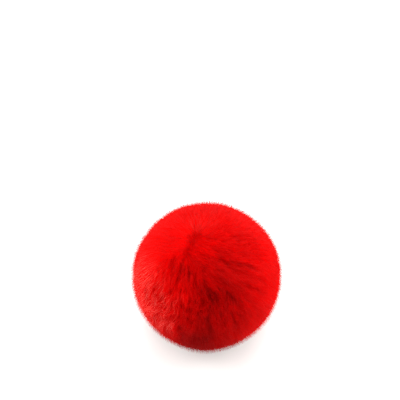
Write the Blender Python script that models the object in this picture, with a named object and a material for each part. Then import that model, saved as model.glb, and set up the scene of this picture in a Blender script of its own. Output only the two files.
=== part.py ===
"""A fur pom pom at its real size: one round of deep-pile fabric drawn into a ball.

The pile stands out all round in tapering locks, which part at a whorl near the top and lean away
from it. Under the ball the locks are shorter and end level, so that it rests on a small flat spot.
The origin is on the ground under the middle of the ball, and the front faces -Y.
"""

import math
import random

import bmesh
import bpy
from mathutils import Matrix, Vector

# Driving dimensions, in metres and degrees
PILE_RADIUS = 0.040  # from the middle of the ball to the tips of its longest locks
BACKING_RADIUS = 0.029  # to the fabric's backing, which holds the roots
FLAT_SPOT_RADIUS = 0.012  # of the ring inside which the locks under the ball end level
LENGTH_SPREAD = 0.0014  # by which the shortest locks fall short of the longest
WHORL = Vector((-0.20, -0.34, 0.92)).normalized()  # from the middle of the ball to the whorl
LEAN_AT_TIP = 0.0048  # how far a lock's tip lies from its root, away from the whorl
STRAY_AT_TIP = 0.0009  # how far a tip strays besides, to any side
LOCKS = 300
LAYOUT_SEED = 11
RELAX_STEPS = 40  # rounds in which the roots' corners push each other apart

# A lock's rings, from root to tip: share of its length, and of its root's corner spacing
LOCK_RINGS = (
    (0.00, 0.76),
    (0.34, 0.86),
    (0.68, 0.74),
    (0.90, 0.50),
    (1.00, 0.20),
)
LEVEL_TIP_WIDTH = 0.60  # the least of those spacings on a lock that stands on the ground

SHARP_ABOVE = 50.0  # degrees between two faces, from which the edge of a lock stays crisp

FUR_RED = (0.52, 0.006, 0.004, 1.0)
FUR_ROUGHNESS = 0.9

centre_height = math.sqrt(PILE_RADIUS**2 - FLAT_SPOT_RADIUS**2)
root_corners = LOCKS // 2 + 2  # a closed net of triangles has this many corners


def foot_corners():
    """Three corners evenly round the lowest point, so that one lock stands straight down."""
    face_area = 4 * math.pi / LOCKS
    spread = 2 * math.sqrt(face_area / (3 * math.sqrt(3)))
    corners = []
    for step in range(3):
        turn = math.tau * step / 3
        out = math.sin(spread)
        corners.append(Vector((out * math.cos(turn), out * math.sin(turn), -math.cos(spread))))
    return corners


def root_layout(chance):
    """Directions of the roots' corners, spread unevenly at random and then eased apart."""
    fixed = foot_corners()
    loose = []
    while len(fixed) + len(loose) < root_corners:
        point = Vector((chance.gauss(0, 1), chance.gauss(0, 1), chance.gauss(0, 1)))
        loose.append(point.normalized())
    typical_gap = math.sqrt(4 * math.pi / root_corners)
    for _ in range(RELAX_STEPS):
        points = fixed + loose
        eased = []
        for point in loose:
            push = Vector((0, 0, 0))
            for other in points:
                apart = point - other
                if 0 < apart.length < 2 * typical_gap:
                    push += apart.normalized() * (typical_gap / apart.length) ** 2
            eased.append((point + push * typical_gap * 0.05).normalized())
        loose = eased
    return fixed + loose


def lean_at(direction, share):
    """The turn that lays a lock over, away from the whorl, growing towards its tip."""
    axis = WHORL.cross(direction)
    above_ground = min(1.0, direction.z + 1.0)
    angle = LEAN_AT_TIP / PILE_RADIUS * axis.length * above_ground * share**1.4
    return Matrix.Rotation(angle, 3, axis.normalized())


def stray_at(side, share):
    """The small turn to the side by which one lock differs from its neighbours."""
    return Matrix.Rotation(STRAY_AT_TIP / PILE_RADIUS * share, 3, side)


def reach_of(direction, length):
    """The radius at which a lock ends: its own length, or the ground if that comes first."""
    reach = BACKING_RADIUS + length
    if direction.z < 0:
        reach = min(reach, centre_height / -direction.z)
    return reach


def grow_lock(bm, face, chance):
    """Extrudes one triangle of the backing ring by ring into a tapering, leaning lock."""
    corners = [vert.co.normalized() for vert in face.verts]
    middle = sum(corners, Vector()).normalized()
    length = PILE_RADIUS - BACKING_RADIUS - chance.uniform(0, LENGTH_SPREAD)
    side = Vector((chance.gauss(0, 1), chance.gauss(0, 1), chance.gauss(0, 1))).normalized()
    reach = reach_of(lean_at(middle, 1.0) @ middle, length)
    on_ground = reach < BACKING_RADIUS + length
    for share, width in LOCK_RINGS:
        if on_ground:
            width = max(width, LEVEL_TIP_WIDTH)
        turn = lean_at(middle, share)
        if not on_ground:
            turn = stray_at(side, share) @ turn
        radius = BACKING_RADIUS + (reach - BACKING_RADIUS) * share
        face = bmesh.ops.extrude_discrete_faces(bm, faces=[face])["faces"][0]
        for vert, corner in zip(face.verts, corners):
            direction = turn @ middle.lerp(corner, width).normalized()
            vert.co = direction * min(radius, reach_of(direction, length))
            if on_ground and share == 1.0:
                vert.co = direction * (centre_height / -direction.z)


def fur_ball():
    """The backing ball with a lock on each of its triangles, in one closed solid."""
    chance = random.Random(LAYOUT_SEED)
    bm = bmesh.new()
    for direction in root_layout(chance):
        bm.verts.new(direction * BACKING_RADIUS)
    bmesh.ops.convex_hull(bm, input=bm.verts)
    for face in list(bm.faces):
        grow_lock(bm, face, chance)
    bmesh.ops.recalc_face_normals(bm, faces=bm.faces)
    bmesh.ops.translate(bm, verts=bm.verts, vec=(0, 0, centre_height))
    mesh = bpy.data.meshes.new("fur_ball")
    bm.to_mesh(mesh)
    bm.free()
    mesh.shade_smooth()
    mesh.set_sharp_from_angle(angle=math.radians(SHARP_ABOVE))
    ball = bpy.data.objects.new("fur_ball", mesh)
    bpy.context.scene.collection.objects.link(ball)
    return ball


def fur_material():
    """Dense red fur, dull all over."""
    material = bpy.data.materials.new("red fur")
    material.use_nodes = True
    shader = material.node_tree.nodes["Principled BSDF"]
    shader.inputs["Base Color"].default_value = FUR_RED
    shader.inputs["Roughness"].default_value = FUR_ROUGHNESS
    shader.inputs["Metallic"].default_value = 0.0
    return material


for old in list(bpy.data.objects):
    bpy.data.objects.remove(old)
fur_ball().data.materials.append(fur_material())
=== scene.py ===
import math

import bmesh
import bpy
import numpy as np
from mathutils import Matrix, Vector
from mathutils.kdtree import KDTree


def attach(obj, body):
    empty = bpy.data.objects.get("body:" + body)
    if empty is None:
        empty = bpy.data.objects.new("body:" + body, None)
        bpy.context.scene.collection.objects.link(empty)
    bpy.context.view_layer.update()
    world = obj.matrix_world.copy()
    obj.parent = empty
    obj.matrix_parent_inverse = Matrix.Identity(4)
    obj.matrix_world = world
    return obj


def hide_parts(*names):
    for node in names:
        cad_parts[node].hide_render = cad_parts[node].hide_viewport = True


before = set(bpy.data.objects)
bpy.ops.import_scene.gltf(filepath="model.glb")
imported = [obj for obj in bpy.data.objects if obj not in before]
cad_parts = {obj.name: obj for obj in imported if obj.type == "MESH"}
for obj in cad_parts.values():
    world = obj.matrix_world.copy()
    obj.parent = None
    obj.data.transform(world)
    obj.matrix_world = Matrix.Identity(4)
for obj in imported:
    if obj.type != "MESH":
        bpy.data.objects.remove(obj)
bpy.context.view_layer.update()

# ---- Camera -------------------------------------------------------------------------------------
# A long lens looks down on the ball at 41 degrees, and aims past it, so that the ball lies low and
# a little right of the middle of the picture. Lengths are in metres here and below.

PILE_RADIUS = 0.040  # to the tips of the hairs
FLAT_SPOT_RADIUS = 0.012  # of the spot on which the ball rests
FRAME_PIXELS = 400
BALL_PIXEL = (206.6, 276.1)  # where the ball's middle shows
BALL_PIXELS_ACROSS = 149.6
CAMERA_ELEVATION = math.radians(41)
LENS_MM = 155
SENSOR_MM = 36

ball_middle = Vector((0, 0, math.sqrt(PILE_RADIUS**2 - FLAT_SPOT_RADIUS**2)))
camera_right = Vector((1, 0, 0))
camera_ahead = Vector((0, math.cos(CAMERA_ELEVATION), -math.sin(CAMERA_ELEVATION)))
camera_up = camera_right.cross(camera_ahead)
focal_pixels = LENS_MM / SENSOR_MM * FRAME_PIXELS


def pixel_ray(across, down):
    """The direction in which the camera sees a pixel, with a length of 1 along its axis."""
    right = (across - FRAME_PIXELS / 2) / focal_pixels
    up = (FRAME_PIXELS / 2 - down) / focal_pixels
    return camera_ahead + camera_right * right + camera_up * up


ball_ray = pixel_ray(*BALL_PIXEL)
ball_distance = PILE_RADIUS * focal_pixels / (BALL_PIXELS_ACROSS / 2)
camera_place = ball_middle - ball_ray.normalized() * ball_distance

camera = bpy.data.objects.new("camera", bpy.data.cameras.new("camera"))
camera.data.lens = LENS_MM
camera.data.sensor_width = SENSOR_MM
camera.location = camera_place
camera.rotation_euler = camera_ahead.to_track_quat("-Z", "Y").to_euler()
bpy.context.scene.collection.objects.link(camera)
bpy.context.scene.camera = camera


def seen_at(across, down):
    """The direction from the ball's middle to the place on the pile that shows at a pixel."""
    ray = pixel_ray(across, down).normalized()
    to_middle = ball_middle - camera_place
    along = to_middle.dot(ray)
    aside = (to_middle - ray * along).length
    depth = math.sqrt(max(0.0, PILE_RADIUS**2 - aside**2))
    return (camera_place + ray * (along - depth) - ball_middle).normalized()


# ---- Way of the pile ----------------------------------------------------------------------------
# A round of deep-pile fabric is gathered at its edge and drawn tight into a ball. Its middle comes
# out at the whorl, from which the pile lies over on all sides and runs down to the gathering. Each
# place on the ball is named by the pixel at which it shows.

PELT_RADIUS = 0.0335  # to the roots of the hairs
WHORL_PIXELS = ((195, 232), (185, 252))  # the whorl is drawn out into a short parting
WHORL_SPREAD = math.radians(11)  # over which the hair goes from upright to fully leaning
WHORL_WIDTH = WHORL_SPREAD * 1.3  # over which its tips are tangled
WHORL_LEAN = 0.35  # share of the lean that is left in the whorl itself
CLOSING_SPREAD = WHORL_SPREAD * 2  # over which the lean ends at the gathering, underneath
# Beside the whorl the lean goes round it, not away from it: what share, where most, and how wide
WHORL_TURN = (0.85, (168, 260), math.radians(27))
TURN_SIDE = (-0.05, 0.25)  # how far left of the whorl, in radii, that sets in and is full
LEAN = 0.0085  # how far a hair's tip lies beside its root
# Where the pile stands up instead, so that the eye looks into it: what share, where, and how wide
STANDING = (0.5, (217, 314), math.radians(28))
COMBED_DOWN = 0.7  # share of the lean that goes straight down, low on the ball
COMBED_BELOW = 0.8  # height over the middle, in radii, under which that sets in
COMBED_OVER = 0.6  # and how much lower it is full
# Patches of pile that lie another way: how large a patch is, and how far its tips stray
WIDE_STRAY = (0.013, 0.0014)
FINE_STRAY = (0.0050, 0.0003)
CURL_STRAY = (0.0032, 0.0042)
WIDE_STRAY_FULL = 0.5  # how far from the whorl, in radians, the wide patches stray fully
# Where the fibres are a little curled, and so stray most: the pixel, and how wide
CURLED = ((160, 318), math.radians(26))
WAVES = 16  # laid over each other to make soft patches
WAVE_PACE = (0.6, 1.4)  # of the longest and of the shortest wave, in times their middle one's
# Long narrow bunches in which hairs draw together: how many, how many times as long as wide,
# how far each hair is drawn to the middle line, how far the middle stands above the sides
LOCKS = (700, 2.9, 0.18, 0.0010)
STRANDS = (6500, 2.9, 0.22, 0.00025)
WISPS = (24000, 3.0, 0.25, 0.0001)
BUNCH_UNEVEN = 0.35  # how far bunches lie out of an even spread, as a share of their gap
BUNCHES_NEAR = 9  # nearest bunches among which a hair finds its own
BUNCH_END = 1.2  # how far out a hair still counts, in half lengths of the bunch
BUNCH_SIDE = 1.5  # and in half widths
DRAWN_MIDWAY, DRAWN_AHEAD = 0.6, 0.4  # hairs draw together more towards the bunch's far end
RISE_MIDWAY, RISE_AHEAD = 0.5, 0.35  # and stand up more there
# Where the pile is ruffled into locks, and where into strands: the pixel, fully within this angle
# of it, and not past this angle of it
LOCKED = ((212, 292), math.radians(28), math.radians(62))
STRANDED = ((166, 306), math.radians(15), math.radians(56))
SMOOTHEST = 0.07  # share of bunching that the smoothest pile keeps
# The back is ruffled again, in patches: the angles from the pixel over which that sets in, how far
# it is ruffled at most, how large a patch is, and the values of its soft field from smooth to full
RUFFLED_BEHIND = (math.radians(80), math.radians(120))
RUFFLED_MOST = 0.75
RUFFLED_PATCH = 0.045
RUFFLED_RANGE = (-0.6, 0.9)
# Soft furrows between locks: from and to pixel, half width, depth
FURROWS = (
    ((184, 256), (175, 298), 0.0010, 0.0020),
    ((189, 266), (189, 292), 0.0007, 0.0014),
    ((204, 270), (215, 316), 0.0012, 0.0013),
    ((225, 291), (243, 312), 0.0012, 0.0022),
    ((232, 262), (261, 270), 0.0010, 0.0018),
    ((219, 269), (230, 276), 0.0010, 0.0012),
    ((163, 280), (158, 297), 0.0009, 0.0014),
    ((177, 322), (184, 345), 0.0012, 0.0020),
    ((236, 314), (247, 322), 0.0012, 0.0012),
)
FURROW_DEEPENS = (-0.1, 0.4)  # shares of its length over which a furrow gets deeper
FURROW_RUNS_OUT = (0.5, 1.1)
TINT_PATCH = 0.016  # size of the patches in which the tint differs a little
LENGTH_PATCH = 0.010  # and of those in which the length does

whorl_start, whorl_end = (np.array(seen_at(*pixel)) for pixel in WHORL_PIXELS)
middle = np.array(ball_middle)
chance = np.random.default_rng(31)


def unit(vectors):
    return vectors / np.linalg.norm(vectors, axis=-1, keepdims=True)


def smooth_step(value, low, high):
    """Rises from 0 at low to 1 at high, without a corner at either."""
    share = np.clip((value - low) / (high - low), 0, 1)
    return share * share * (3 - 2 * share)


def spread_evenly(count, uneven):
    """Directions spread over a sphere by the golden angle, each moved by a share of their gap."""
    step = np.arange(count) + 0.5
    height = 1 - 2 * step / count
    turn = step * math.pi * (3 - math.sqrt(5))
    out = np.sqrt(1 - height**2)
    points = np.stack((out * np.cos(turn), out * np.sin(turn), height), axis=1)
    gap = math.sqrt(4 * math.pi / count)
    return unit(points + chance.normal(0, uneven * gap, points.shape))


def soft_field(size):
    """A smooth field over the ball, of three values around 0, in patches about size across."""
    reach = PILE_RADIUS * math.pi / size
    ways = unit(chance.normal(size=(3, WAVES, 3))) * reach
    ways = ways * chance.uniform(*WAVE_PACE, (3, WAVES, 1))
    phases = chance.uniform(0, 2 * math.pi, (3, WAVES))

    def values(directions):
        turns = np.einsum("nk,cwk->ncw", directions, ways) + phases
        return np.sin(turns).sum(axis=2) * math.sqrt(2 / WAVES)

    return values


def angle_from(directions, pixel):
    """The angle between each direction and the place that shows at a pixel."""
    return np.arccos(np.clip(directions @ np.array(seen_at(*pixel)), -1, 1))


def near_pixel(directions, pixel, width):
    """How near each direction is to the place that shows at a pixel: 1 there, and less outwards."""
    return np.exp(-((angle_from(directions, pixel) / width) ** 2))


wide_stray = soft_field(WIDE_STRAY[0])
fine_stray = soft_field(FINE_STRAY[0])
curl_stray = soft_field(CURL_STRAY[0])


def lean_at(directions):
    """How a hair's tip lies beside its root, in radii of the ball, and how near the whorl it is."""
    drawn = whorl_end - whorl_start
    share = np.clip((directions - whorl_start) @ drawn / (drawn @ drawn), 0, 1)
    whorl = unit(whorl_start + share[:, None] * drawn)
    facing = np.einsum("nk,nk->n", directions, whorl)
    away = directions * facing[:, None] - whorl
    away = away / np.maximum(np.linalg.norm(away, axis=1, keepdims=True), 1e-6)
    angle = np.arccos(np.clip(facing, -1, 1))
    most, *where = WHORL_TURN
    turn = most * near_pixel(directions, *where)
    turn *= smooth_step(whorl[:, 0] - directions[:, 0], *TURN_SIDE)
    round_it = np.cross(directions, away) * turn[:, None]
    opened = WHORL_LEAN + (1 - WHORL_LEAN) * smooth_step(angle, 0, WHORL_SPREAD)
    closed = smooth_step(math.pi - angle, 0, CLOSING_SPREAD)
    down = directions * directions[:, 2:] - (0, 0, 1)
    combed = COMBED_DOWN * smooth_step(COMBED_BELOW - directions[:, 2], 0, COMBED_OVER)
    lean = unit(away + round_it + down * combed[:, None]) * (LEAN * opened * closed)[:, None]
    most, *where = STANDING
    lean *= 1 - most * near_pixel(directions, *where)[:, None]
    wide = wide_stray(directions) * WIDE_STRAY[1] * smooth_step(angle, 0, WIDE_STRAY_FULL)[:, None]
    lean += wide + fine_stray(directions) * FINE_STRAY[1]
    lean += curl_stray(directions) * CURL_STRAY[1] * near_pixel(directions, *CURLED)[:, None]
    return lean / PILE_RADIUS, 1 - smooth_step(angle, 0, WHORL_WIDTH)


def tousle_at(directions, pixel, inner, outer):
    """How far the pile is ruffled: fully in front, in patches behind, hardly on top."""
    angle = angle_from(directions, pixel)
    front = 1 - smooth_step(angle, inner, outer)
    behind = RUFFLED_MOST * smooth_step(angle, *RUFFLED_BEHIND)
    patches = smooth_step(ruffled_patches(directions)[:, 0], *RUFFLED_RANGE)
    return SMOOTHEST + (1 - SMOOTHEST) * np.maximum(front, behind * patches)


def furrow(tips):
    """How deep each tip lies in the soft furrows."""
    sunk = np.zeros(len(tips))
    for start, end, half_width, depth in FURROWS:
        start, end = np.array(seen_at(*start)), np.array(seen_at(*end))
        way = end - start
        along = (tips - start) @ way / (way @ way)
        aside = tips - unit(start + np.clip(along, 0, 1)[:, None] * way)
        apart = np.linalg.norm(aside, axis=1) * PILE_RADIUS
        taper = smooth_step(along, *FURROW_DEEPENS) * (1 - smooth_step(along, *FURROW_RUNS_OUT))
        sunk += np.exp(-((apart / half_width) ** 2)) * depth * taper
    return sunk


def bunches(count, stretch, pull, rise):
    """Long narrow places on the ball, lying along the pile, where hairs draw together."""
    places = spread_evenly(count, BUNCH_UNEVEN)
    tree = KDTree(count)
    for number, place in enumerate(places):
        tree.insert(place, number)
    tree.balance()
    along = unit(lean_at(places)[0])
    half_width = math.sqrt(math.pi / count / stretch)
    return places, tree, along, np.cross(places, along), half_width, stretch, pull, rise


def bunch_up(tips, bunch, tousle, gather=1.0):
    """Draws each tip to the middle line of its bunch, and tells its bunch and how far it rises."""
    places, tree, along, across, half_width, stretch, pull, rise = bunch
    near = np.array([[found[1] for found in tree.find_n(tip, BUNCHES_NEAR)] for tip in tips])
    apart = tips[:, None] - places[near]
    ahead = np.einsum("nkc,nkc->nk", apart, along[near]) / (half_width * stretch)
    aside = np.einsum("nkc,nkc->nk", apart, across[near]) / half_width
    best = (ahead**2 + aside**2).argmin(axis=1)[:, None]
    number = np.take_along_axis(near, best, 1)[:, 0]
    ahead = np.take_along_axis(ahead, best, 1)[:, 0].clip(-BUNCH_END, BUNCH_END)
    aside = np.take_along_axis(aside, best, 1)[:, 0].clip(-BUNCH_SIDE, BUNCH_SIDE)
    drawn = aside * half_width * pull * gather * (DRAWN_MIDWAY + DRAWN_AHEAD * ahead) * tousle
    tips = unit(tips - across[number] * drawn[:, None])
    return tips, number, (RISE_MIDWAY - aside**2 + RISE_AHEAD * ahead) * rise * tousle


ruffled_patches = soft_field(RUFFLED_PATCH)
locks = bunches(*LOCKS)
strands = bunches(*STRANDS)
wisps = bunches(*WISPS)
lock_tint = chance.normal(size=LOCKS[0])
strand_tint = chance.normal(size=STRANDS[0])
wisp_tint = chance.normal(size=WISPS[0])
tint_patches = soft_field(TINT_PATCH)
length_patches = soft_field(LENGTH_PATCH)


# ---- Pile hairs ---------------------------------------------------------------------------------
# Fine acrylic fibres are fixed in the backing by their roots, tens of thousands to the ball, and
# each tapers at both ends. The ground hairs make the dense even surface, and fewer and finer
# guard hairs stand a little proud of it.

BEND_AT = 0.55  # share of a hair's length at which it is widest and bends over
BEND_WAY = (0.62, 0.38)  # shares of the root's and the tip's direction in that of the bend
BEND_REACH = (0.42, 0.58)  # the same for its distance from the ball's middle
TRIANGLE_SIDE = 1.732  # the side of a three-sided hair of radius 1
FLOOR_GAP = 0.0003  # between the floor and the lowest hair
FLOOR_SCATTER = 0.0006  # how far above that hairs end that would meet the floor
# Tints go from 0, the darkest, to 1, the palest, and each has a column of the bake map; besides
# the hairs' own tone they carry painted shade and painted light
TINTS = 48
BAKE_MAP = "OFBake"
COLUMN_SHARE = 0.3  # half of what a face takes of its column
BAKE_MARGIN = 0.02  # left free at the roots' and the tips' end of the bake map


def one_hair():
    """A three-sided hair of length 1 along Z, pointed at both ends: its points and faces."""
    bm = bmesh.new()
    bmesh.ops.create_cone(bm, cap_ends=True, segments=3, radius1=1, radius2=0, depth=1)
    bmesh.ops.translate(bm, verts=bm.verts, vec=(0, 0, 0.5))
    bmesh.ops.remove_doubles(bm, verts=bm.verts, dist=1e-4)
    base = min(bm.faces, key=lambda face: face.calc_center_median().z)
    root = bmesh.ops.poke(bm, faces=[base])["verts"][0]
    for vert in bm.verts:
        vert.co.z = BEND_AT if vert.co.z < 0.5 else 1.0
    root.co.z = 0.0
    bmesh.ops.recalc_face_normals(bm, faces=bm.faces)
    bm.verts.index_update()
    points = np.array([vert.co for vert in bm.verts])
    faces = np.array([[vert.index for vert in face.verts] for face in bm.faces])
    bm.free()
    return points, faces


def hair_piece(name, directions, tips, reach, width, tints, material):
    """One mesh of many hairs: a copy of the template along each, and its tint on the bake map,
    painted shade and light included.
    """
    points, faces = one_hair()
    count, per_hair = len(directions), len(points)
    roots = directions * PELT_RADIUS
    bends = unit(directions * BEND_WAY[0] + tips * BEND_WAY[1])
    bends = bends * (PELT_RADIUS * BEND_REACH[0] + reach * BEND_REACH[1])[:, None]
    ends = tips * reach[:, None]
    spine = np.stack((roots, bends, ends), axis=1) + middle
    lowest = FLOOR_GAP + chance.uniform(0, FLOOR_SCATTER, (count, 3))
    spine[:, :, 2] = np.maximum(spine[:, :, 2], lowest)
    ahead = unit(spine[:, 2] - spine[:, 0])
    side = unit(np.cross(ahead, chance.normal(size=(count, 3))))
    over = np.cross(ahead, side)
    row = np.round(points[:, 2] / BEND_AT).astype(int)  # 0 at the root, 1 at the bend, 2 at the tip
    places = spine[:, row]
    across = points[None, :, 0, None] * side[:, None] + points[None, :, 1, None] * over[:, None]
    places = places + across * (width / TRIANGLE_SIDE)[:, None, None]
    mesh = bpy.data.meshes.new(name)
    mesh.vertices.add(count * per_hair)
    mesh.vertices.foreach_set("co", places.astype(np.float32).ravel())
    loops = (faces[None] + (np.arange(count) * per_hair)[:, None, None]).ravel()
    mesh.loops.add(len(loops))
    mesh.loops.foreach_set("vertex_index", loops.astype(np.int32))
    mesh.polygons.add(len(loops) // 3)
    mesh.polygons.foreach_set("loop_start", np.arange(0, len(loops), 3, dtype=np.int32))
    mesh.update(calc_edges=True)
    column = np.repeat((tints + 0.5) / TINTS, len(faces) * 3)
    half = COLUMN_SHARE / TINTS
    column = column + np.tile(np.array((-half, 0.0, half)), len(faces) * count)
    height = np.tile(points[faces.ravel(), 2], count)
    flat = np.stack((column, height * (1 - 2 * BAKE_MARGIN) + BAKE_MARGIN), axis=1)
    mesh.uv_layers.new(name=BAKE_MAP)
    mesh.uv_layers[BAKE_MAP].data.foreach_set("uv", flat.astype(np.float32).ravel())
    mesh.materials.append(material)
    mesh.validate()
    mesh.shade_smooth()
    hair = bpy.data.objects.new(name, mesh)
    bpy.context.scene.collection.objects.link(hair)
    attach(hair, "root")
    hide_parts("fur_ball")


HAIR_ROOT = "#b40100"  # painted shade, for where little light reaches
HAIR_LENGTH = "#e80000"
# brighter than the length, as painted light at the tip
HAIR_TIP = "#fb0402"
GUARD_TIP = "#ff1c16"  # painted light: paler, as light comes through so fine a tip
SHEEN_TIP = "#ff8a7e"  # painted sheen on the tips of the palest guard hairs
SHEEN_TINT = 0.80  # the tint from which a guard hair has a tip of painted sheen
ROOT_UNTIL = 0.25  # shares of a hair's height at which the colours of root and length are full
LENGTH_AT = 0.62
SHEEN_HEIGHT = 0.5  # and from which the painted sheen sets in
SHADES = (0.40, 1.10)  # times its colour that a hair of the darkest and of the palest tint has
SEEN_THROUGH = 0.6  # share of the light that goes through a hair
HAIR_ROUGHNESS = 0.55
HAIR_IOR = 1.5  # of acrylic
GROUND_GLOSS = 0.02  # between the hairs hardly any light is mirrored outwards
GUARD_GLOSS = 0.13


def linear(hex_colour):
    """An sRGB hex colour as the linear values that a shader takes."""
    channels = [int(hex_colour[i : i + 2], 16) / 255 for i in (1, 3, 5)]
    return [c / 12.92 if c <= 0.04045 else ((c + 0.055) / 1.055) ** 2.4 for c in channels] + [1.0]


def add_node(tree, kind, inputs=None, **settings):
    """Adds a node, sets it, and gives each named input a value or links it to a socket."""
    node = tree.nodes.new(kind)
    for name, value in settings.items():
        setattr(node, name, value)
    for name, value in (inputs or {}).items():
        if isinstance(value, bpy.types.NodeSocket):
            tree.links.new(value, node.inputs[name])
        else:
            node.inputs[name].default_value = value
    return node


def new_material(name):
    material = bpy.data.materials.new(name)
    material.use_nodes = True
    material.node_tree.nodes.clear()
    return material, material.node_tree


def fur_material(name, tip_colour, sheen_colour, gloss):
    """Dyed acrylic fibre, spun fine and heat-set: red, with painted shade at the root and painted
    light at the tip.
    """
    material, tree = new_material(name)
    flat = add_node(tree, "ShaderNodeUVMap", uv_map=BAKE_MAP)
    split = add_node(tree, "ShaderNodeSeparateXYZ", {"Vector": flat.outputs["UV"]})
    ramp = add_node(tree, "ShaderNodeValToRGB", {"Fac": split.outputs["Y"]})
    ramp.color_ramp.elements[0].position = ROOT_UNTIL
    ramp.color_ramp.elements[0].color = linear(HAIR_ROOT)
    ramp.color_ramp.elements[1].position = 1.0
    ramp.color_ramp.elements[1].color = linear(tip_colour)
    ramp.color_ramp.elements.new(LENGTH_AT).color = linear(HAIR_LENGTH)
    pale = add_node(
        tree,
        "ShaderNodeMapRange",
        {"Value": split.outputs["X"], "From Min": SHEEN_TINT, "From Max": 1.0},
    )
    near_tip = add_node(
        tree,
        "ShaderNodeMapRange",
        {"Value": split.outputs["Y"], "From Min": SHEEN_HEIGHT, "To Max": pale.outputs["Result"]},
    )
    painted_sheen = add_node(
        tree,
        "ShaderNodeMix",
        {0: near_tip.outputs["Result"], 6: ramp.outputs["Color"], 7: linear(sheen_colour)},
        data_type="RGBA",
    )
    shade = add_node(
        tree,
        "ShaderNodeMapRange",
        {"Value": split.outputs["X"], "To Min": SHADES[0], "To Max": SHADES[1]},
    )
    shade = shade.outputs["Result"]
    grey = add_node(tree, "ShaderNodeCombineColor", {"Red": shade, "Green": shade, "Blue": shade})
    tinted = add_node(
        tree,
        "ShaderNodeMix",
        {0: 1.0, 6: painted_sheen.outputs[2], 7: grey.outputs["Color"]},
        data_type="RGBA",
        blend_type="MULTIPLY",
    )
    fibre = add_node(
        tree,
        "ShaderNodeBsdfPrincipled",
        {
            "Base Color": tinted.outputs[2],
            "Roughness": HAIR_ROUGHNESS,
            "IOR": HAIR_IOR,
            "Specular IOR Level": gloss,
        },
    )
    through = add_node(tree, "ShaderNodeBsdfTranslucent", {"Color": tinted.outputs[2]})
    both = add_node(
        tree,
        "ShaderNodeMixShader",
        {0: SEEN_THROUGH, 1: fibre.outputs["BSDF"], 2: through.outputs["BSDF"]},
    )
    add_node(tree, "ShaderNodeOutputMaterial", {"Surface": both.outputs["Shader"]})
    return material


# Of each kind: how many hairs a piece has, how far from the ball's middle the shortest and the
# longest reach, how wide they are, how far their tips go astray, what share of the lean they have,
# how mixed their tints are, and how many times further strands draw them together. Real fibres
# are 0.02 to 0.05 mm wide, which wouldn't show.
GROUND_HAIR = {
    "count": 33000,
    "reach": (0.0374, 0.0402),
    "width": 0.00019,
    "loose": 0.010,
    "leaning": 1.0,
    "mixed": 0.01,
    "gather": 1.0,
}
GUARD_HAIR = {
    "count": 28000,
    "reach": (0.0392, 0.0422),
    "width": 0.00011,
    "loose": 0.012,
    "leaning": 0.8,
    "mixed": 0.07,
    "gather": 2.6,
}
GROUND_PIECES = 4
HAIR_UNEVEN = 0.45  # how far hairs stand out of an even spread, as a share of their gap
WIDTH_RANGE = (0.75, 1.25)  # of single hairs, in times their kind's width
# How far tips go astray, in times what their kind does: all over, how much less where the fibres
# are curled, how much more in the whorl, and how much more in a soft place, its pixel, how wide
ASTRAY = 1.7
ASTRAY_CURLED = 0.9
ASTRAY_IN_WHORL = 3
SOFTER = (1.7, (198, 244), math.radians(34))
# Where a hair's length lies between its kind's shortest and longest: mostly about this share, in
# this beta spread, of which the smoothest pile has only a quarter
FULL_MOSTLY = 0.6
FULL_SPREAD = (2.2, 1.6)
FULL_SMOOTH = 0.25
PATCHES_LONGER = 0.0006  # how much longer or shorter hairs are in patches
# Where the pile sags forward near the foot of the ball: how far, the pixel, and how wide
SAGGING = (0.0009, (202, 350), math.radians(15))
PILE_TINT = 0.85  # the tint of smooth pile
LOCKED_PAINTED_SHADE = 0.08  # painted shade: how much darker it is where it lies in locks, over the front
PATCHES_DIFFER = 0.04  # how far patches, locks, strands and wisps differ from each other
LOCKS_DIFFER = 0.05
STRANDS_DIFFER = 0.015
CURLED_DIFFER = 0.06  # how much further strands do where they are curled
WISPS_DIFFER = 0.015
# Painted light and painted shade: how much paler a metre of rise would be, and how much darker a
# metre of furrow
LOCK_RISE_PAINTED_LIGHT = 60
STRAND_RISE_PAINTED_LIGHT = 30
FURROW_PAINTED_SHADE = 130
# Painted shade and painted light in the pile's tint: where it is made darker, or paler where the
# amount is below 0: how much darker, the pixel, and how wide
PAINTED_SHADE_AND_LIGHT = (
    (0.50, (218, 306), math.radians(30)),
    (0.60, (203, 345), math.radians(22)),
    (-0.22, (168, 274), math.radians(22)),
    (-0.11, (237, 289), math.radians(20)),
    (-0.14, (188, 306), math.radians(11)),
    (-0.20, (206, 228), math.radians(20)),
)
FOOT_PAINTED_SHADE = 0.42  # painted shade: how much darker the pile under the ball is, near the floor
FOOT_FROM, FOOT_FULL = 0.44, 0.78  # how far under the middle, in radii
# Painted sheen, as pale tips on more of the guard hairs: how much paler, the pixel, and how wide
PAINTED_SHEEN = (
    (0.21, (160, 322), math.radians(26)),
    (0.20, (138, 284), math.radians(24)),
    (0.09, (204, 218), math.radians(28)),
)
PAINTED_SHEEN_BY_STRANDS = 0.5  # how far that differs between strands where the pile is ruffled
GUARD_DARKER = 0.06  # how much darker guard hairs are than ground hairs otherwise


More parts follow.
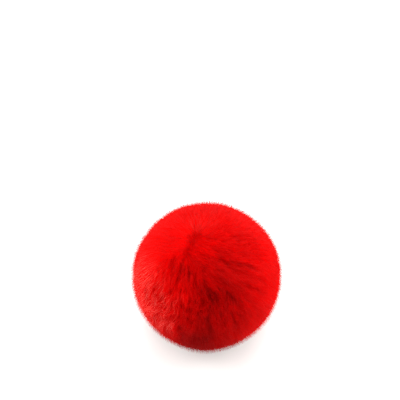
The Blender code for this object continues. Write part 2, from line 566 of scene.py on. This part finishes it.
def grow_hairs(name, fibre, painted_sheen, count, reach, width, loose, leaning, mixed, gather):
    """One piece of hairs over the whole ball: tips spread evenly, roots upstream of them."""
    tips = spread_evenly(count, HAIR_UNEVEN)
    locked, tousle = tousle_at(tips, *LOCKED), tousle_at(tips, *STRANDED)
    lean, in_whorl = lean_at(tips)
    roots = unit(tips - lean * leaning)
    tips, lock, lock_rise = bunch_up(tips, locks, locked)
    tips, strand, strand_rise = bunch_up(tips, strands, tousle, gather)
    tips, wisp, wisp_rise = bunch_up(tips, wisps, tousle)

    curled = near_pixel(tips, *CURLED)
    most, *where = SOFTER
    astray = ASTRAY - ASTRAY_CURLED * curled + ASTRAY_IN_WHORL * in_whorl
    astray = loose * (astray + most * near_pixel(tips, *where))
    tips = unit(tips + chance.normal(0, 1, tips.shape) * astray[:, None])

    full = chance.beta(*FULL_SPREAD, count) - FULL_MOSTLY
    full = FULL_MOSTLY + full * (FULL_SMOOTH + (1 - FULL_SMOOTH) * tousle)
    sunk = furrow(tips)
    most, *where = SAGGING
    length = reach[0] + (reach[1] - reach[0]) * full
    length += length_patches(tips)[:, 0] * PATCHES_LONGER * locked - sunk
    length += lock_rise + strand_rise + wisp_rise + most * near_pixel(tips, *where)

    # the tint carries painted shade over the locked front of the ball
    tint_and_painted_light = PILE_TINT - LOCKED_PAINTED_SHADE * locked + PATCHES_DIFFER * tint_patches(tips)[:, 0]
    tint_and_painted_light += chance.normal(0, mixed, count)
    tint_and_painted_light += LOCKS_DIFFER * lock_tint[lock] * locked
    of_strand = (STRANDS_DIFFER + CURLED_DIFFER * curled) * strand_tint[strand]
    tint_and_painted_light += (of_strand + WISPS_DIFFER * wisp_tint[wisp]) * tousle
    # painted light on raised locks and strands, painted shade in the furrows
    tint_and_painted_light += lock_rise * LOCK_RISE_PAINTED_LIGHT + strand_rise * STRAND_RISE_PAINTED_LIGHT - sunk * FURROW_PAINTED_SHADE
    # painted shade, and painted light where the amount is below 0
    for painted_darker, *where in PAINTED_SHADE_AND_LIGHT:
        tint_and_painted_light -= painted_darker * near_pixel(tips, *where)
    # painted shade all round the foot of the ball
    tint_and_painted_light -= FOOT_PAINTED_SHADE * smooth_step(-tips[:, 2], FOOT_FROM, FOOT_FULL)
    # painted sheen on the tips of guard hairs, in patches
    if painted_sheen:
        tint_and_painted_light = np.minimum(tint_and_painted_light, SHEEN_TINT) - GUARD_DARKER
        mottled = 1 + PAINTED_SHEEN_BY_STRANDS * strand_tint[strand] * tousle
        for sheen_amount, *where in PAINTED_SHEEN:
            tint_and_painted_light += sheen_amount * near_pixel(tips, *where) * mottled
    column = np.clip((tint_and_painted_light * TINTS).astype(int), 0, TINTS - 1)
    widths = width * chance.uniform(*WIDTH_RANGE, count)
    hair_piece(name, roots, tips, length, widths, column, fibre)


ground = fur_material("dyed_acrylic_fibre", HAIR_TIP, HAIR_TIP, GROUND_GLOSS)
guard = fur_material("fine_dyed_acrylic_fibre", GUARD_TIP, SHEEN_TIP, GUARD_GLOSS)
for piece in range(GROUND_PIECES):
    grow_hairs(f"ground_hair_{piece + 1}", ground, False, **GROUND_HAIR)
grow_hairs("guard_hair", guard, True, **GUARD_HAIR)


# ---- Underfur -----------------------------------------------------------------------------------
# The fabric's backing with the thick felted foot of the pile, drawn into a ball. Nothing of it
# shows but the depth between the hairs, and its dark red is painted shade for that depth.

UNDERFUR_RADIUS = 0.0340
UNDERFUR_LUMPS = 0.0006  # how high its wide and its small lumps are
UNDERFUR_SMALL_LUMPS = 0.0004
UNDERFUR_SHADE = "#6c0100"  # painted shade, darkest between the tufts
UNDERFUR_LIGHT = "#a00201"  # on the tufts
UNDERFUR_RAMP = (0.35, 0.7)  # values of the noise at which it is fully dark and fully light
MATTED_A_METRE = 900.0  # tufts of matted fibre, each about 1.1 mm across
MATTED_DEPTH = 0.0004  # how deep their relief is, and the share of it that shows
MATTED_BUMP = 0.6
MATTED_DETAIL = 4.0  # how often each tuft is split into finer ones
FELT_ROUGHNESS = 0.95


def underfur_material():
    """Felted foot of the pile, deep red as painted shade, darker between its tufts: dull, with a
    fine grain of matted fibre.
    """
    material, tree = new_material("matted_acrylic_underfur")
    place = add_node(tree, "ShaderNodeTexCoord")
    noise = add_node(
        tree,
        "ShaderNodeTexNoise",
        {"Vector": place.outputs["Object"], "Scale": MATTED_A_METRE, "Detail": MATTED_DETAIL},
    )
    ramp = add_node(tree, "ShaderNodeValToRGB", {"Fac": noise.outputs["Fac"]})
    for element, position, colour in zip(
        ramp.color_ramp.elements, UNDERFUR_RAMP, (UNDERFUR_SHADE, UNDERFUR_LIGHT)
    ):
        element.position = position
        element.color = linear(colour)
    bump = add_node(
        tree,
        "ShaderNodeBump",
        {"Height": noise.outputs["Fac"], "Strength": MATTED_BUMP, "Distance": MATTED_DEPTH},
    )
    felt = add_node(
        tree,
        "ShaderNodeBsdfPrincipled",
        {
            "Base Color": ramp.outputs["Color"],
            "Roughness": FELT_ROUGHNESS,
            "Normal": bump.outputs["Normal"],
        },
    )
    add_node(tree, "ShaderNodeOutputMaterial", {"Surface": felt.outputs["BSDF"]})
    return material


def underfur_ball():
    bm = bmesh.new()
    bmesh.ops.create_icosphere(bm, subdivisions=6, radius=UNDERFUR_RADIUS)
    ways = unit(np.array([vert.co for vert in bm.verts]))
    lumps = length_patches(ways)[:, 0] * UNDERFUR_LUMPS
    lumps = lumps + fine_stray(ways)[:, 0] * UNDERFUR_SMALL_LUMPS
    for vert, way, lump in zip(bm.verts, ways, lumps):
        vert.co += Vector(way * lump)
        vert.co += ball_middle
    mesh = bpy.data.meshes.new("underfur")
    bm.to_mesh(mesh)
    bm.free()
    mesh.shade_smooth()
    mesh.materials.append(underfur_material())
    ball = bpy.data.objects.new("underfur", mesh)
    bpy.context.scene.collection.objects.link(ball)
    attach(ball, "root")
    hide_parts("fur_ball")


underfur_ball()

# ---- Floor and light ----------------------------------------------------------------------------
# A wide sheet of matt white paper. Six round soft lights stand low around the ball, a larger one
# hangs higher behind it, and a white room fills the shadows.

PAPER = "#dedcda"
PAPER_HALF = 6.0  # from the middle of the sheet to its edge
PAPER_ROUGHNESS = 0.9
PAPER_GLOSS = 0.2
# The paper's far part is lit up, as a studio lights its background: from here, and fully from here
GLOW_FROM = 0.8
GLOW_FULL = 1.8
LIGHTS_AWAY = 1.4  # from the ball's middle
# Each light's degrees round from the front and up, its watts, and how large it is
LIGHTS = {
    "right_front": (45, 12, 17.0, 0.5),
    "left_front": (315, 12, 15.0, 0.5),
    "left_side": (247, 12, 12.5, 0.5),
    "right_side": (112, 12, 11.0, 0.5),
    "back_upper": (170, 42, 9.0, 1.3),
    "left_back": (225, 12, 4.5, 0.5),
    "right_back": (135, 12, 4.0, 0.5),
}
ROOM_WHITE = (0.97, 0.965, 0.96, 1.0)  # of the walls, linear, and a little warm
ROOM_LIGHT = 1.48  # what they give the ball and the paper
ROOM_SEEN = 1.0  # how bright the camera sees them


def paper_floor():
    """Uncoated white paper: it scatters light evenly, with no shine that follows the eye."""
    material, tree = new_material("matt_white_paper")
    place = add_node(tree, "ShaderNodeTexCoord")
    far = add_node(tree, "ShaderNodeVectorMath", {0: place.outputs["Object"]}, operation="LENGTH")
    glow = add_node(
        tree,
        "ShaderNodeMapRange",
        {"Value": far.outputs["Value"], "From Min": GLOW_FROM, "From Max": GLOW_FULL},
    )
    sheet = add_node(
        tree,
        "ShaderNodeBsdfPrincipled",
        {
            "Base Color": linear(PAPER),
            "Roughness": PAPER_ROUGHNESS,
            "Specular IOR Level": PAPER_GLOSS,
            "Emission Color": linear(PAPER),
            "Emission Strength": glow.outputs["Result"],
        },
    )
    add_node(tree, "ShaderNodeOutputMaterial", {"Surface": sheet.outputs["BSDF"]})
    bm = bmesh.new()
    bmesh.ops.create_grid(bm, x_segments=1, y_segments=1, size=PAPER_HALF)
    mesh = bpy.data.meshes.new("floor")
    bm.to_mesh(mesh)
    bm.free()
    mesh.materials.append(material)
    floor = bpy.data.objects.new("floor", mesh)
    bpy.context.scene.collection.objects.link(floor)


def soft_light(name, around, up, watts, across):
    """A round soft light aimed at the ball, so many degrees round from the front and up."""
    turn, rise = math.radians(around), math.radians(up)
    flat = math.cos(rise)
    way = Vector((math.sin(turn) * flat, -math.cos(turn) * flat, math.sin(rise)))
    lamp = bpy.data.lights.new(name, "AREA")
    lamp.shape = "DISK"
    lamp.size = across
    lamp.energy = watts
    light = bpy.data.objects.new(name, lamp)
    light.location = ball_middle + way * LIGHTS_AWAY
    light.rotation_euler = (-way).to_track_quat("-Z", "Y").to_euler()
    bpy.context.scene.collection.objects.link(light)


paper_floor()
for name, settings in LIGHTS.items():
    soft_light(name, *settings)

world = bpy.data.worlds.new("studio")
world.use_nodes = True
backdrop = world.node_tree.nodes["Background"]
backdrop.inputs["Color"].default_value = ROOM_WHITE
seen = add_node(world.node_tree, "ShaderNodeLightPath")
strength = add_node(
    world.node_tree,
    "ShaderNodeMapRange",
    {"Value": seen.outputs["Is Camera Ray"], "To Min": ROOM_LIGHT, "To Max": ROOM_SEEN},
)
world.node_tree.links.new(strength.outputs["Result"], backdrop.inputs["Strength"])
bpy.context.scene.world = world
bpy.context.scene.view_settings.view_transform = "Standard"
bpy.context.scene.cycles.denoising_prefilter = "NONE"  # keeps single hairs crisp
